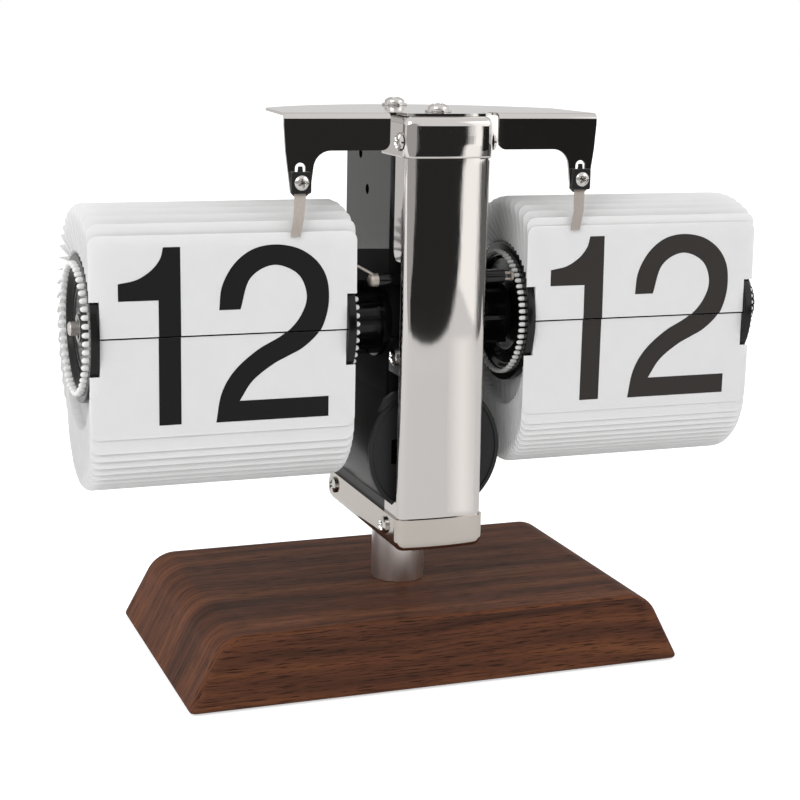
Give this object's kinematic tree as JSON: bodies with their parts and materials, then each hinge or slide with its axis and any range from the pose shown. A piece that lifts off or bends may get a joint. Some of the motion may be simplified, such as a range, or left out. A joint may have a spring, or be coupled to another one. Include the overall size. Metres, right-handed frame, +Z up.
{
  "type": "flip desk clock",
  "caption": "Desk flip clock: two drums of hinged number leaves on a polished column, battery movement behind, wooden base.",
  "frame": {"origin": "centre of the wooden base's underside, on the table; the setting wheel makes the right end reach 6.3 mm further out than the left, so this isn't the middle of the whole width", "axes": "X runs across the clock to the right of someone reading it, -Y is the front, +Z is up"},
  "size_m": [0.2137, 0.091, 0.1688],
  "materials": {
    "walnut": "satin",
    "rubber": "matte",
    "polished": "polished",
    "brushed": "brushed",
    "screws": "polished",
    "case": "satin",
    "drum": "gloss",
    "leaf": "satin",
    "pin": "satin",
    "brass": "polished",
    "gear": "satin",
    "steel": "satin",
    "copper": "satin",
    "board": "satin",
    "cell": "satin",
    "clamp": "satin"
  },
  "bodies": {
    "frame": {"base_block": "walnut", "base_pad": "rubber", "base_washer": "steel", "base_screw": "steel", "post": "brushed", "lower_bracket": "polished", "bracket_screws": "screws", "case_left": "case", "case_right": "case", "case_screws": "screws", "bearing_bushes": "brass", "side_bosses": "case", "bridge_plate": "brass", "stator": "steel", "coil": "copper", "circuit_board": "board", "battery_contacts": "polished", "dry_cell": "cell", "battery_cap": "case", "battery_cover": "case", "column_cover": "polished", "column_stays": "case", "stay_screws": "screws", "top_cap": "polished", "cap_screws": "screws", "arm_plate": "polished", "arm_screws": "screws", "arm_washers": "polished", "catch_fingers": "brushed", "finger_clamps": "clamp", "finger_screws": "screws", "index_bar": "case", "index_tips": "brass", "hour_leaves_upper": "leaf", "hour_leaves_lower": "leaf", "minute_leaves_upper": "leaf", "minute_leaves_lower": "leaf"},
    "minute_drum": {"minute_spindle": "steel", "setting_wheel": "drum", "minute_disc_outer": "drum", "minute_disc_inner": "drum", "minute_core": "drum", "minute_pins": "pin", "minute_wheel": "gear", "cannon_pinion": "gear"},
    "hour_drum": {"hour_spindle": "steel", "hour_collar": "steel", "hour_disc_outer": "drum", "hour_disc_inner": "drum", "hour_core": "drum", "hour_pins": "pin", "hour_wheel": "gear"},
    "motion_work": {"motion_arbor": "steel", "motion_wheel": "gear"},
    "drive_gear": {"drive_arbor": "steel", "drive_wheel": "gear"},
    "rotor": {"rotor": "steel", "rotor_magnet": "steel"},
    "hour_leaf": {"hour_falling_leaf": "leaf"},
    "minute_leaf": {"minute_falling_leaf": "leaf"}
  },
  "joints": [
    {"name": "minute_drum_turn", "type": "hinge", "parent": "frame", "child": "minute_drum", "pos_m": [0, -0.0152, 0.1062], "axis": [1, 0, 0], "continuous": true},
    {"name": "hour_drum_turn", "type": "hinge", "parent": "frame", "child": "hour_drum", "pos_m": [0, -0.0152, 0.1062], "axis": [1, 0, 0], "continuous": true},
    {"name": "motion_work_turn", "type": "hinge", "parent": "frame", "child": "motion_work", "pos_m": [0, -0.00512, 0.1062], "axis": [1, 0, 0], "continuous": true},
    {"name": "drive_gear_turn", "type": "hinge", "parent": "frame", "child": "drive_gear", "pos_m": [0, -0.01345, 0.11613], "axis": [1, 0, 0], "continuous": true},
    {"name": "rotor_turn", "type": "hinge", "parent": "frame", "child": "rotor", "pos_m": [0, -0.00913, 0.12361], "axis": [1, 0, 0], "continuous": true},
    {"name": "hour_leaf_fall", "type": "hinge", "parent": "frame", "child": "hour_leaf", "pos_m": [0, -0.03465, 0.1062], "axis": [1, 0, 0], "range_deg": [0, 180]},
    {"name": "minute_leaf_fall", "type": "hinge", "parent": "frame", "child": "minute_leaf", "pos_m": [0, -0.03465, 0.1062], "axis": [1, 0, 0], "range_deg": [0, 180]}
  ],
  "couplings": [
    {"joint": "hour_drum_turn", "follows": "minute_drum_turn", "ratio": 0.041667},
    {"joint": "motion_work_turn", "follows": "minute_drum_turn", "ratio": -0.25},
    {"joint": "drive_gear_turn", "follows": "minute_drum_turn", "ratio": -6},
    {"joint": "rotor_turn", "follows": "minute_drum_turn", "ratio": 30}
  ]
}
